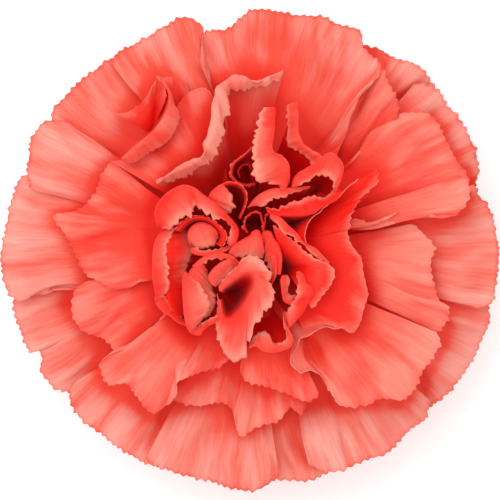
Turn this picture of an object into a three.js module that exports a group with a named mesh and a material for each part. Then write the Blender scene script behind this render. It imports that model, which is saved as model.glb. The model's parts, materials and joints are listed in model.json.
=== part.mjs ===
// A cut carnation bloom, face up, standing on the flat cut through the foot of its calyx.
// Petals stand in whorls: each rises as a narrow claw inside the calyx tube and opens above its mouth
// into a fan-shaped blade. Millimetres and degrees, +Z up, origin at the centre of the cut face.
import * as THREE from "three";

// ---- Calyx: the green tube that holds the petals ----
const calyxHeight = 23; // cut face to the notches between the teeth
const calyxFootRadius = 5.6;
const calyxBellyRadius = 8.5;
const calyxBellyHeight = 9.7;
const calyxMouthRadius = 8.3;
const calyxWall = 0.6;
const toothCount = 5;
const toothRise = 3.8;
const toothFlare = 3.2; // how far a tooth's tip leans out past the mouth
const toothClearance = 0.9; // from a tooth's tip up to the lowest petals

// ---- Bracts: two pairs of scales that clasp the calyx foot ----
const bractLength = 9.5;
const bractThickness = 0.5;
const bractHalfAngle = 52;

// ---- Inside the calyx ----
const receptacleHeight = 9.4;
const ovaryRadius = 1.35;
const ovaryHeight = 7;
const styleRadius = 0.32;
const styleLength = 15;
const styleSpread = 0.75; // distance of each style from the axis

// ---- Petals ----
const petalThickness = 0.3;
const clawWidth = 2.3;
const fit = 0.35; // clearance between pieces that touch in life
const edgeGap = 1; // clearance between neighbours in one whorl
const cornerRounding = 0.1; // share of its reach that a blade loses at its two corners

// Whorls from the outside in. reach is the longest petal's, from the axis. crest and rim say how much
// higher the blades arch and end than in the whorl outside it. Each petal is
// [azimuth, how much shorter than reach].
const whorls = [
  {
    name: "guard_petal_low", reach: 37.3, crest: 6, rim: -3, halfAngle: 27, wave: 0.5, columns: 6,
    petals: [[28, 0.3], [52, 0.7], [134, 0.8], [204, 0.8], [234, 0.5], [279, 1.5], [331, 0]],
  },
  {
    name: "guard_petal_high", reach: 37.7, crest: 2.5, rim: 3, halfAngle: 27, wave: 0.5, columns: 6,
    petals: [[1, 0.1], [77, 0.9], [113, 1.4], [155, 1.2], [177, 0], [259, 1.1], [302, 0.7]],
  },
  {
    name: "outer_petal", reach: 34, crest: 3.5, rim: 6.5, halfAngle: 27, wave: 0.6, columns: 6,
    petals: [[32, 0], [55, 1.5], [110, 6], [168, 4], [203, 6], [263, 5.5], [350, 3]],
  },
  {
    name: "middle_petal", reach: 33, crest: 3.5, rim: 4.5, halfAngle: 27, wave: 0.6, columns: 6,
    petals: [[14, 0], [93, 7.5], [122, 4], [146, 8.5], [232, 4.5], [290, 8.5], [318, 0]],
  },
  {
    name: "inner_petal", reach: 22.5, crest: 3.5, rim: 5, halfAngle: 28, wave: 0.5, columns: 5,
    petals: [[25, 1], [47, 4], [71, 0], [150, 8], [205, 6.5], [280, 7], [340, 3]],
  },
  {
    name: "heart_petal", reach: 19.5, crest: 3, rim: 4, halfAngle: 28, wave: 0.4, columns: 5,
    petals: [[36, 0], [79, 0], [114, 8.5], [165, 7], [230, 5], [272, 2.5], [318, 7.5]],
  },
  {
    name: "centre_petal", reach: 12.5, crest: 1.5, rim: 2.5, halfAngle: 36, wave: 0.3, columns: 4,
    petals: [[45, 0], [170, 3.5], [235, 2.5], [345, 0]],
  },
  {
    name: "eye_petal", reach: 5, crest: 0, rim: 0.6, halfAngle: 38, wave: 0.2, columns: 4,
    petals: [[20, 0], [110, 0], [200, 0], [290, 0]],
  },
];

const petalColours = [0xf2857a, 0xf2857a, 0xf06f60, 0xee6152, 0xe94b3e, 0xe53f34, 0xdc342b, 0xd22c25];
const clawFoot = receptacleHeight + fit;
const rad = THREE.MathUtils.degToRad;
const bloom = new THREE.Group();

function add(name, geometry, color, roughness) {
  const material = new THREE.MeshStandardMaterial({ color, roughness, metalness: 0 });
  const mesh = new THREE.Mesh(geometry, material);
  mesh.name = name;
  bloom.add(mesh);
}

function polar(radius, azimuth, z) {
  return new THREE.Vector3(radius * Math.cos(azimuth), radius * Math.sin(azimuth), z);
}

// A closed sheet of even thickness on both sides of the surface point(u, v), with u and v from 0 to 1.
// ring joins u = 1 back to u = 0. The front side is where du x dv points.
function sheet(point, columns, rows, thickness, ring = false) {
  const across = ring ? columns : columns + 1;
  const step = 1e-3;
  const position = [];
  for (const side of [0.5, -0.5])
    for (let j = 0; j <= rows; j++)
      for (let i = 0; i < across; i++) {
        const u = i / columns;
        const v = j / rows;
        const [u0, u1] = ring ? [u - step, u + step] : [Math.max(0, u - step), Math.min(1, u + step)];
        const [v0, v1] = [Math.max(0, v - step), Math.min(1, v + step)];
        const du = point(u1, v).sub(point(u0, v));
        const dv = point(u, v1).sub(point(u, v0));
        const normal = du.cross(dv).normalize();
        position.push(...point(u, v).addScaledVector(normal, side * thickness));
      }
  const front = (i, j) => j * across + (i % across);
  const back = (i, j) => front(i, j) + across * (rows + 1);
  const index = [];
  const quad = (a, b, c, d) => index.push(a, b, c, a, c, d);
  for (let i = 0; i < columns; i++) {
    for (let j = 0; j < rows; j++) {
      quad(front(i, j), front(i + 1, j), front(i + 1, j + 1), front(i, j + 1));
      quad(back(i, j), back(i, j + 1), back(i + 1, j + 1), back(i + 1, j));
    }
    quad(front(i, 0), back(i, 0), back(i + 1, 0), front(i + 1, 0));
    quad(front(i + 1, rows), back(i + 1, rows), back(i, rows), front(i, rows));
  }
  if (!ring)
    for (let j = 0; j < rows; j++) {
      quad(front(0, j + 1), back(0, j + 1), back(0, j), front(0, j));
      quad(front(columns, j), back(columns, j), back(columns, j + 1), front(columns, j + 1));
    }
  const geometry = new THREE.BufferGeometry();
  geometry.setAttribute("position", new THREE.Float32BufferAttribute(position, 3));
  geometry.setIndex(index);
  geometry.computeVertexNormals();
  return geometry;
}

// ---- Calyx and bracts ----

// The middle of the calyx wall, as a smooth line from the foot to the mouth.
const calyxLine = new THREE.SplineCurve([
  new THREE.Vector2(calyxFootRadius - calyxWall / 2, 0),
  new THREE.Vector2((calyxFootRadius + 2 * calyxBellyRadius - 1.5 * calyxWall) / 3, calyxBellyHeight * 0.38),
  new THREE.Vector2(calyxBellyRadius - calyxWall / 2, calyxBellyHeight),
  new THREE.Vector2(calyxMouthRadius - calyxWall / 2, calyxHeight),
]);

function calyxRadiusAt(z) {
  let low = 0;
  let high = 1;
  for (let k = 0; k < 24; k++) {
    const middle = (low + high) / 2;
    if (calyxLine.getPoint(middle).y < z) low = middle;
    else high = middle;
  }
  return calyxLine.getPoint(low).x;
}

function narrowest(from, to) {
  return Math.min(...[0, 0.25, 0.5, 0.75, 1].map((share) => calyxRadiusAt(from + share * (to - from))));
}

function calyxPoint(u, v) {
  const peak = 1 - Math.abs(2 * ((u * toothCount + 100) % 1) - 1);
  const z = v * (calyxHeight + toothRise * peak);
  const lean = Math.max(0, z - calyxHeight) / toothRise;
  const radius = calyxRadiusAt(Math.min(z, calyxHeight)) + toothFlare * lean;
  return polar(radius, 2 * Math.PI * u, z);
}

// A leaning wall has a leaning end: its lowest vertices are set level, as a flush cut leaves them.
function cutFlush(geometry, thickness) {
  const position = geometry.getAttribute("position");
  for (let i = 0; i < position.count; i++)
    if (position.getZ(i) < thickness / 2) position.setZ(i, 0);
  return geometry;
}

function bract(azimuth, layer) {
  const offset = calyxWall / 2 + fit + bractThickness / 2 + layer * (bractThickness + fit);
  const point = (u, v) => {
    const z = v * bractLength;
    const half = rad(bractHalfAngle) * (0.06 + 0.94 * (1 - v ** 2.2));
    return polar(calyxRadiusAt(z) + offset, rad(azimuth) + (2 * u - 1) * half, z);
  };
  return cutFlush(sheet(point, 8, 4, bractThickness), bractThickness);
}

// ---- Receptacle, ovary and styles ----

function lathe(points, segments) {
  return new THREE.LatheGeometry(points.map(([x, z]) => new THREE.Vector2(x, z)), segments)
    .rotateX(Math.PI / 2);
}

function receptacle() {
  const inside = (z) => calyxRadiusAt(z) - calyxWall / 2 - fit;
  const top = receptacleHeight;
  const neck = Math.min(inside(top * 0.45), inside(top));
  return lathe([[0, 0], [inside(0) - fit, 0], [neck * 0.97, top * 0.45], [neck, top * 0.85],
    [neck - 1, top], [0, top]], 28);
}

function ovary() {
  const foot = receptacleHeight + fit;
  const profile = [[0, foot]];
  for (let k = 0; k <= 6; k++) {
    const turn = Math.PI * (0.18 + 0.74 * (k / 6));
    profile.push([ovaryRadius * Math.sin(turn), foot + (ovaryHeight * k) / 6]);
  }
  profile.push([0, foot + ovaryHeight]);
  return lathe(profile, 14);
}

function style(azimuth) {
  const foot = receptacleHeight + 2 * fit + ovaryHeight;
  const at = (radius, turn, share) => polar(radius, rad(azimuth + turn), foot + styleLength * share);
  const line = new THREE.CatmullRomCurve3([
    at(styleSpread, 0, 0), at(styleSpread, 6, 0.4), at(styleSpread, 14, 0.75), at(styleSpread, 24, 1),
  ]);
  const round = new THREE.Shape().absarc(0, 0, styleRadius, 0, 2 * Math.PI);
  return new THREE.ExtrudeGeometry(round, { steps: 10, curveSegments: 4, extrudePath: line });
}

// ---- Petals ----

const innermostClaw = Math.max(ovaryRadius, styleSpread + styleRadius) + fit + petalThickness / 2;
const outermostClaw = narrowest(clawFoot, calyxHeight) - calyxWall / 2 - fit - petalThickness / 2;
const clawPitch = (outermostClaw - innermostClaw) / (whorls.length - 1);
const petalRows = 6;
const clawShare = 1 / petalRows; // the lowest row is the claw, the others are the blade

// Half angles to each side of a petal: the whorl's own, or less where a neighbour is close.
function sides(whorl, k) {
  const count = whorl.petals.length;
  const own = whorl.petals[k][0];
  const turn = (other) => (((other - own) % 360) + 360) % 360;
  const next = turn(whorl.petals[(k + 1) % count][0]);
  const last = 360 - turn(whorl.petals[(k + count - 1) % count][0]);
  return [last / 2, next / 2].map((limit) => Math.min(whorl.halfAngle, limit));
}

// The line that a blade follows from its claw to its rim, as distances from the axis and heights above
// the level where the claws end.
function meridian(level, reach, lift = 0) {
  const below = whorls.slice(0, level + 1);
  const crest = below.reduce((sum, whorl) => sum + whorl.crest, 0);
  const rim = below.reduce((sum, whorl) => sum + whorl.rim, 0) + lift;
  const claw = outermostClaw - level * clawPitch;
  return new THREE.CubicBezierCurve(
    new THREE.Vector2(claw, 0),
    new THREE.Vector2(claw, crest),
    new THREE.Vector2(THREE.MathUtils.lerp(claw, reach, 0.45), crest),
    new THREE.Vector2(reach, rim),
  );
}

// The claws end where the lowest blades just clear the tips of the calyx teeth.
const toothTip = calyxMouthRadius + toothFlare;
const overTooth = meridian(0, whorls[0].reach).getPoints(200).find((p) => p.x > toothTip).y;
const clawTop = calyxHeight + toothRise + toothClearance - overTooth;

function petal(whorl, level, k) {
  const [azimuth, shorter] = whorl.petals[k];
  const clawRadius = outermostClaw - level * clawPitch;
  const [behind, ahead] = sides(whorl, k);
  const point = (u, v) => {
    const side = 2 * u - 1;
    const open = Math.max(0, (v - clawShare) / (1 - clawShare));
    const far = (whorl.reach - shorter) * (1 - cornerRounding * Math.abs(side) ** 3);
    const ripple = whorl.wave * Math.cos(2 * Math.PI * side);
    const { x: radius, y: height } = meridian(level, far, ripple).getPoint(open);
    const z = v < clawShare ? THREE.MathUtils.lerp(clawFoot, clawTop, v / clawShare) : clawTop + height;
    const room = rad(side < 0 ? behind : ahead) - edgeGap / 2 / radius;
    const clawHalf = Math.min(clawWidth / 2 / clawRadius, room);
    const spread = THREE.MathUtils.smoothstep(open, 0, 0.55);
    return polar(radius, rad(azimuth) + side * THREE.MathUtils.lerp(clawHalf, room, spread), z);
  };
  return sheet(point, whorl.columns, petalRows, petalThickness);
}

const calyx = sheet(calyxPoint, toothCount * 6, 6, calyxWall, true);
add("calyx", cutFlush(calyx, calyxWall), 0x8fae6b, 0.6);
[0, 180].forEach((azimuth, k) => add(`inner_bract_${k + 1}`, bract(azimuth, 0), 0x86a763, 0.6));
[90, 270].forEach((azimuth, k) => add(`outer_bract_${k + 1}`, bract(azimuth, 1), 0x7d9f5c, 0.6));
add("receptacle", receptacle(), 0xcfdca6, 0.7);
add("ovary", ovary(), 0xb9cf8a, 0.6);
[30, 210].forEach((azimuth, k) => add(`style_${k + 1}`, style(azimuth), 0xf3e9dc, 0.5));
whorls.forEach((whorl, level) =>
  whorl.petals.forEach((_, k) =>
    add(`${whorl.name}_${k + 1}`, petal(whorl, level, k), petalColours[level], 0.65)));

export default bloom;
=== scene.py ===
"""A cut carnation bloom: fifty ruffled petals, a five-toothed calyx and its bracts.

Lengths are millimetres until a mesh is made, where they become metres.
"""

import json
import math

import bpy
import numpy as np
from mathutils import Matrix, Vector


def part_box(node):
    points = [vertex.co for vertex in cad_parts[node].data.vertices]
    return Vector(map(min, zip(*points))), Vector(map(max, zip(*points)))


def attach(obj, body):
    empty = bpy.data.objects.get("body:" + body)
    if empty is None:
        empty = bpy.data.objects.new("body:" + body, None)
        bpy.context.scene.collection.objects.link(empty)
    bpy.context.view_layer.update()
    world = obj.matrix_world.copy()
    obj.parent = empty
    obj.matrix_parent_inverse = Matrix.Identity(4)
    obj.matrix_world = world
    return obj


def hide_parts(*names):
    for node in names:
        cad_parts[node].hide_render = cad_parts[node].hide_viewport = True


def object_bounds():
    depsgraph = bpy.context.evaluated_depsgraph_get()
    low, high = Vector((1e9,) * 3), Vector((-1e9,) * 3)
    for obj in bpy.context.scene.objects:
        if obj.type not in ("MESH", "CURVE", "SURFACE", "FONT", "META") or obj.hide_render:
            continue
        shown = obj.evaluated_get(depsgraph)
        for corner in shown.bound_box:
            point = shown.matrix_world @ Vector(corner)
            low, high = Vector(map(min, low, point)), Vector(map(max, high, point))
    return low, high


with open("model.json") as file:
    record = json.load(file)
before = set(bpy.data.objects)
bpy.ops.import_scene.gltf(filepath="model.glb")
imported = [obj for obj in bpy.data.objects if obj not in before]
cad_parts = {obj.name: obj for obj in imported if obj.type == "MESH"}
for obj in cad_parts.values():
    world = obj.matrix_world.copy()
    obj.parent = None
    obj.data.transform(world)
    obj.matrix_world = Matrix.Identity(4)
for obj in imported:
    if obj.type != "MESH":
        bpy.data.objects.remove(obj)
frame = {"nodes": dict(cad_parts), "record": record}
CAD_LOW, CAD_HIGH = [np.array(corner, dtype=float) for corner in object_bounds()]
MM = 0.001

# ---- Taken from the frame ----
SLOT_OF = {part["node"]: part["material_slot"] for part in frame["record"]["subparts"]}
CLAW_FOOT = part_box("guard_petal_low_1")[0][2] / MM
SPAN = (CAD_HIGH[0] - CAD_LOW[0]) / MM

# ---- Petals: lists have one entry per ring, from the lower guard petals to the eye ----
MOUTH = 24.0              # height where the claws end and the blades open
CLAW_RADII = np.linspace(7.15, 1.9, 8)
CLAW_HALF_WIDTH = 1.1
CREST = [30, 32.5, 36, 39.5, 43, 46, 47.5, 47.3]
SLOTS = ["guard_petals", "guard_petals", "outer_petals", "outer_petals",
         "inner_petals", "inner_petals", "heart_petals", "heart_petals"]
PETAL_THICKNESS = 0.26
HEART_RING = 5            # from this ring in, petals are thinner
HEART_THINNESS = 0.65
EDGE_THICKNESS = 0.12
TOOTH_SPACING = 1.1
COLUMN_WIDTH = 0.17
ROWS = 44

# ---- The pile that petals are laid on ----
PILE_REACH = 45           # half the side of its square
PILE_CELL = 0.25
PILE_GAP = 0.22           # air between one petal and the next
BARE = -1e3               # height of a cell with nothing on it yet
UNDER_BLOOM = 18.0        # height that stands for bare cells where the depth for painted shade is worked out

# ---- Calyx and bracts ----
CALYX_HEIGHT = 23         # up to the notches between the teeth
CALYX_TEETH = 5
CALYX_RIBS = 35
TOOTH_RISE = 3.8
TOOTH_FLARE = 3.1
BRACT_LENGTH = 9.5
BRACT_HALF_ANGLE = 51
BRACT_OFFSET = 0.62       # from the middle of the calyx wall to that of an inner bract
BRACT_LAYER = 0.42        # from an inner bract to an outer one


# ---------------------------------------------------------------- surfaces

def smooth_line(points, count):
    """A Catmull-Rom curve through the points, as count points evenly spaced along its length."""
    p = np.asarray(points, dtype=float)
    p = np.vstack([2 * p[0] - p[1], p, 2 * p[-1] - p[-2]])
    t = np.linspace(0, len(p) - 3 - 1e-9, 60 * (len(p) - 3))
    k = t.astype(int)
    f = (t - k)[:, None]
    a, b, c, d = p[k], p[k + 1], p[k + 2], p[k + 3]
    fine = 0.5 * (2 * b + (c - a) * f + (2 * a - 5 * b + 4 * c - d) * f ** 2
                  + (3 * b - a - 3 * c + d) * f ** 3)
    length = run_length(fine)
    even = np.linspace(0, length[-1], count)
    return np.stack([np.interp(even, length, fine[:, i]) for i in range(fine.shape[1])], axis=1)


def run_length(points):
    """Distance along a line of points, from 0 at the first."""
    steps = np.linalg.norm(np.diff(points, axis=0), axis=1)
    return np.concatenate([[0.0], np.cumsum(steps)])


def spread_along(values, u):
    """Values at equal steps from u = 0 to u = 1: one is constant, three a parabola, more smooth ramps."""
    values = np.atleast_1d(np.asarray(values, dtype=float))
    if len(values) == 1:
        return np.full(len(u), values[0])
    if len(values) == 3:
        a, b, c = values
        return a * (2 * u - 1) * (u - 1) + 4 * b * u * (1 - u) + c * u * (2 * u - 1)
    place = np.clip(u, 0, 1) * (len(values) - 1)
    left = np.minimum(place.astype(int), len(values) - 2)
    t = place - left
    return values[left] + (values[left + 1] - values[left]) * t * t * (3 - 2 * t)


def smoothstep(low, high, x):
    """0 below low, 1 above high and a smooth rise between."""
    t = np.clip((x - low) / (high - low), 0, 1)
    return t * t * (3 - 2 * t)


def waves(s, length, rng):
    """Three sines of s with unrelated periods about length, from -1 to 1."""
    phase = rng.uniform(0, 2 * math.pi, 3)
    turn = 2 * math.pi * s / length
    total = np.sin(turn + phase[0]) + 0.6 * np.sin(1.63 * turn + phase[1])
    return (total + 0.45 * np.sin(0.57 * turn + phase[2])) / 2.05


def crumple(x, y, length, rng):
    """Soft folds over the plan: six plane waves about length long in random directions, about -1 to 1."""
    total = 0
    for _ in range(6):
        heading, phase = rng.uniform(0, 2 * math.pi, 2)
        k = 2 * math.pi / (length * rng.uniform(0.7, 1.4))
        total = total + np.sin(k * (x * math.cos(heading) + y * math.sin(heading)) + phase)
    return total / 3.2


def teeth(s, rng, depth):
    """A zigzag of s: valleys near 0 and points at random heights up to depth, about TOOTH_SPACING apart."""
    count = int(s[-1] / TOOTH_SPACING) + 3
    steps = TOOTH_SPACING / 2 * rng.uniform(0.6, 1.4, 2 * count)
    where = np.cumsum(steps) - steps[0]
    height = np.zeros(2 * count)
    height[1::2] = depth * rng.uniform(0.35, 1.0, count)
    height[0::2] = depth * rng.uniform(0.0, 0.2, count)
    return np.interp(s, where, height)


def shifted(grid, axis, reach):
    """The grid moved along an axis by each whole step up to reach to both sides, its border repeated."""
    pad = [(0, 0), (0, 0)]
    pad[axis] = (reach, reach)
    wide = np.pad(grid, pad, mode="edge")
    return [np.take(wide, range(k, k + grid.shape[axis]), axis=axis) for k in range(2 * reach + 1)]


def blur(grid, passes, across, down):
    """Repeated box averages over across columns and down rows to each side."""
    for _ in range(passes):
        for axis, reach in ((1, across), (0, down)):
            parts = shifted(grid, axis, reach)
            grid = sum(parts) / len(parts)
    return grid


def widest(grid, across, down):
    """The highest value within across columns and down rows to each side."""
    for axis, reach in ((1, across), (0, down)):
        grid = np.max(shifted(grid, axis, reach), axis=0)
    return grid


def normals(surface):
    """Unit normals of a (rows, columns, 3) grid, on the side where d(row) x d(column) points."""
    across = np.gradient(surface, axis=1)
    down = np.gradient(surface, axis=0)
    n = np.cross(down, across)
    return n / np.maximum(np.linalg.norm(n, axis=2, keepdims=True), 1e-9)


def make_piece(name, points, faces, uv=None, attributes=None):
    """A mesh object at the origin from points in millimetres and quads."""
    mesh = bpy.data.meshes.new(name)
    mesh.vertices.add(len(points))
    mesh.vertices.foreach_set("co", (points * MM).astype(np.float32).ravel())
    mesh.loops.add(faces.size)
    mesh.loops.foreach_set("vertex_index", faces.astype(np.int32).ravel())
    mesh.polygons.add(len(faces))
    mesh.polygons.foreach_set("loop_start", np.arange(0, faces.size, 4, dtype=np.int32))
    mesh.polygons.foreach_set("use_smooth", np.ones(len(faces), dtype=bool))
    if uv is not None:
        layer = mesh.uv_layers.new(name="along_and_across")
        layer.data.foreach_set("uv", uv[faces.ravel()].astype(np.float32).ravel())
    for key, values in (attributes or {}).items():
        field = mesh.attributes.new(key, "FLOAT", "POINT")
        field.data.foreach_set("value", values.astype(np.float32))
    mesh.update(calc_edges=True)
    mesh.validate()
    piece = bpy.data.objects.new(name, mesh)
    bpy.context.scene.collection.objects.link(piece)
    return piece


def sheet_faces(rows, columns, ring=False):
    """Quads of a closed sheet: a front grid, a back grid and the strips that join their borders."""
    i = np.arange(columns if ring else columns - 1)
    j = np.arange(rows - 1)

    def point(row, column):
        return row * columns + column % columns

    jj, ii = np.meshgrid(j, i, indexing="ij")
    jj, ii = jj.ravel(), ii.ravel()
    front = np.stack([point(jj, ii), point(jj + 1, ii), point(jj + 1, ii + 1), point(jj, ii + 1)], axis=1)
    shift = rows * columns
    parts = [front, front[:, ::-1] + shift]

    def strip(a, b):
        parts.append(np.stack([a, b, b + shift, a + shift], axis=1))

    strip(point(0, i), point(0, i + 1))
    strip(point(rows - 1, i + 1), point(rows - 1, i))
    if not ring:
        strip(point(j + 1, 0), point(j, 0))
        strip(point(j, columns - 1), point(j + 1, columns - 1))
    return np.concatenate(parts)


# ---------------------------------------------------------------- petals

class Pile:
    """The height of the petals laid so far, on a square grid seen from above."""

    def __init__(self):
        self.count = int(2 * PILE_REACH / PILE_CELL)
        self.top = np.full((self.count, self.count), BARE)

    def cells(self, surface):
        """The cell of each point."""
        ij = ((surface[..., :2] + PILE_REACH) / PILE_CELL).astype(int)
        return np.clip(ij, 0, self.count - 1)

    def occlusion_depth(self, surface):
        """How many millimetres each point lies below the soft average of the pile within 4.5 mm of it: the
        petal materials paint shade by this depth.
        """
        filled = np.where(self.top > BARE, self.top, UNDER_BLOOM)
        around = blur(filled, 3, 6, 6)
        ij = self.cells(surface)
        return around[ij[..., 0], ij[..., 1]] - surface[..., 2]

    def lift_for(self, surface):
        """How far each point must rise to clear the pile, spread smoothly over the petal."""
        ij = self.cells(surface)
        under = self.top[ij[..., 0], ij[..., 1]]
        need = np.clip(under + PILE_GAP + PETAL_THICKNESS - surface[..., 2], 0, None)
        need = np.where(under > BARE, need, 0)
        rows = surface.shape[0]
        open_part = smoothstep(0.12, 0.3, np.linspace(0, 1, rows))[:, None]
        return blur(widest(need * open_part, 12, 3), 6, 8, 2) * open_part

    def add(self, surface, upright):
        """Lays a surface on the pile, but not the part that is rolled over, where upright is negative."""
        fine = np.concatenate([(surface[:-1] * (1 - f) + surface[1:] * f) for f in (0, 0.25, 0.5, 0.75)])
        keep = np.concatenate([upright[:-1]] * 4) > 0.05
        ij = self.cells(fine)[keep]
        z = fine[..., 2][keep]
        for a in (-1, 0, 1):
            for b in (-1, 0, 1):
                np.maximum.at(self.top, (np.clip(ij[:, 0] + a, 0, self.count - 1),
                                         np.clip(ij[:, 1] + b, 0, self.count - 1)), z)


class Petal:
    """One petal: its toothed edge in plan, from corner to corner, and how it stands.

    height is the edge's height at equal steps from one corner to the other.
    lean is the blade's slope at the edge in degrees: 0 level, 90 upright.
    turn is a second line in plan where a rolled blade turns over on its way to the edge; height is then
    the turn's, and drop is how much lower the edge hangs.
    throat is where a funnel-shaped blade opens, if that isn't straight above its claw.
    crest is the height that the blade climbs towards before it goes over to the edge.
    hollow is how wide the throat opens, as a share of the way from its middle to the edge.
    bank is how level, from 0 to 1, a rolled blade is as it comes to its turn.
    shade makes the colour deeper, or paler if it is negative.
    part tells the lobes of one deeply split petal apart.
    pleat, swell and fold scale the fine ripples and the waves at the edge and the soft folds of the blade,
    and tooth its teeth. laid is whether it is laid on the petals before it.
    """

    def __init__(self, node, ring, edge, height, lean=(0, 0, 0), turn=None, drop=0.8, throat=None, crest=None,
                 pleat=1.0, swell=1.0, fold=1.0, tooth=0.5, bank=0.0, shade=0.0, hollow=0.0,
                 part="", laid=True):
        self.node, self.ring, self.edge, self.height, self.lean = node, ring, edge, height, lean
        self.turn, self.drop, self.throat = turn, drop, throat
        self.crest = CREST[ring] if crest is None else crest
        self.pleat, self.swell, self.fold, self.tooth, self.laid = pleat, swell, fold, tooth, laid
        self.bank, self.shade, self.hollow, self.part = bank, shade, hollow, part


def bezier(a, b, c, d, t):
    """Cubic Bezier lines between (columns, 3) arrays, as a (rows, columns, 3) grid for t of rows."""
    t = t[:, None, None]
    return (1 - t) ** 3 * a + 3 * (1 - t) ** 2 * t * b + 3 * (1 - t) * t ** 2 * c + t ** 3 * d


def foot_of(petal, around, columns):
    """Where each line of the blade starts: across the claw, or round the throat."""
    u = np.linspace(0, 1, columns)
    radius = CLAW_RADII[petal.ring]
    middle = np.mean(petal.edge, axis=0) if petal.throat is None else np.array(petal.throat[:2])
    bearing = math.atan2(middle[1], middle[0])
    angle = bearing + (2 * u - 1) * CLAW_HALF_WIDTH / radius
    claw = np.column_stack([radius * np.cos(angle), radius * np.sin(angle), np.full(columns, MOUTH)])
    if petal.throat is None:
        return claw, claw
    away = around - np.array(petal.throat[:2])
    length = np.linalg.norm(away, axis=1, keepdims=True)
    away = away / np.maximum(length, 0.3) * np.maximum(petal.hollow * length, 0.6)
    base = np.column_stack([petal.throat[0] + away[:, 0], petal.throat[1] + away[:, 1],
                            np.full(columns, float(petal.throat[2]))])
    return claw, base


def runs_counter_clockwise(line, centre):
    """Whether the line runs counter-clockwise about the centre."""
    arms = line - centre
    turning = np.sum(arms[:-1, 0] * arms[1:, 1] - arms[:-1, 1] * arms[1:, 0])
    return turning >= 0


def open_blade(petal, base, line, out, reach, order):
    """A blade without a roll, and v for each of its rows, 0 at the foot and 1 at the edge.

    Each line from foot to edge is a cubic Bezier: straight up, then over to the edge along the lean.
    """
    v = 1 - (1 - np.linspace(0, 1, ROWS)) ** 1.35
    up = np.array([0, 0, max(petal.crest - base[0, 2], 1.0)])
    rim = np.column_stack([line, spread_along(petal.height, order)])
    lean = np.radians(spread_along(petal.lean, order))
    heading = np.column_stack([out * np.cos(lean)[:, None], np.sin(lean)])
    return bezier(base, base + up, rim - 0.45 * reach[:, None] * heading, rim, v), v


def rolled_blade(petal, base, line, over, out, reach, order):
    """A blade that comes up to its turn by one cubic Bezier and goes over to the edge by a second one.

    Also v for each of its rows: 0 at the foot, 0.8 at the turn and 1 at the edge.
    """
    up = np.array([0, 0, max(petal.crest - base[0, 2], 1.0)])
    top = spread_along(petal.height, order)
    drop = spread_along(petal.drop, order)
    shoulder = np.column_stack([over, top])
    rim = np.column_stack([line, top - drop])
    width = np.linalg.norm(over - line, axis=1)[:, None]
    rise = np.array([0, 0, 1.0])
    inward = (rim - shoulder) * np.array([1, 1, 0])
    lip_rows = ROWS * 2 // 5
    level = np.column_stack([out, np.zeros(len(order))])
    arrive = (1 - petal.bank) * 5 * rise + petal.bank * 0.5 * reach[:, None] * level
    body = bezier(base, base + 0.5 * up, shoulder - arrive, shoulder, np.linspace(0, 1, ROWS - lip_rows + 1))
    over_top = (1 - petal.bank) * rise + petal.bank * level
    lip = bezier(shoulder, shoulder + (0.42 * width + 0.2) * over_top,
                 rim - 0.45 * inward + (0.25 * width + 0.1 + 0.3 * drop[:, None]) * rise, rim,
                 np.linspace(0, 1, lip_rows))
    v = np.concatenate([np.linspace(0, 0.8, len(body) - 1, endpoint=False), np.linspace(0.8, 1, lip_rows)])
    return np.concatenate([body[:-1], lip]), v


def ruffle(petal, blade, v, s, reach, rng):
    """Moves the blade along its normals by pleats, waves and soft folds; also the relief that shades it."""
    vv = v[:, None]
    room = np.clip(reach / 14, 0.15, 1.0)
    gaps = np.linalg.norm(np.gradient(blade, axis=1), axis=2)
    spread = np.clip(gaps / np.maximum(gaps[-1:], 1e-6), 0, 1.2) ** 1.5
    x, y = blade[..., 0], blade[..., 1]
    drift = 1.5 * crumple(x, y, 13.0, rng)
    pleats = 0.3 * petal.pleat * spread * smoothstep(0.62, 1.0, vv) * waves(s + drift, 3.4, rng) * room
    swell = 0.6 * petal.swell * spread * smoothstep(0.35, 1.0, vv) * waves(s + 2 * drift, 9.0, rng) * room
    folds = 0.95 * petal.fold * smoothstep(0.1, 0.6, vv) * room * crumple(x, y, 10.0, rng)
    if petal.turn is not None:
        pleats = pleats + 0.1 * smoothstep(0.78, 0.95, vv) * waves(s, 1.3, rng)
    return blade + normals(blade) * (pleats + swell + folds)[:, :, None], pleats * 2 + swell * 0.6


def cut_teeth(petal, blade, v, s, rng):
    """Stretches and shortens the last rows of the blade into teeth, with none at the two corners."""
    ahead = blade[-1] - blade[-4]
    ahead = ahead / np.maximum(np.linalg.norm(ahead, axis=1, keepdims=True), 1e-6)
    u = np.linspace(0, 1, blade.shape[1])
    ends = smoothstep(0, 0.03, u) * smoothstep(0, 0.03, 1 - u)
    notch = teeth(s, rng, petal.tooth * 1.2) * ends - 0.4 * petal.tooth
    return blade + (smoothstep(0.92, 1.0, v)[:, None] * notch)[:, :, None] * ahead


def stalk_of(petal, claw, base):
    """The claw: four rows straight up to the mouth, and with a throat a Bezier of eight more up to it."""
    stalk = np.repeat(claw[None], 4, axis=0)
    stalk[..., 2] = np.linspace(CLAW_FOOT, MOUTH, 5)[:4, None]
    if petal.throat is None:
        return stalk
    climb = np.array([0, 0, 0.4 * (petal.throat[2] - MOUTH)])
    return np.concatenate([stalk, bezier(claw, claw + climb, base - climb, base, np.linspace(0, 1, 9)[:-1])])


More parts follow.
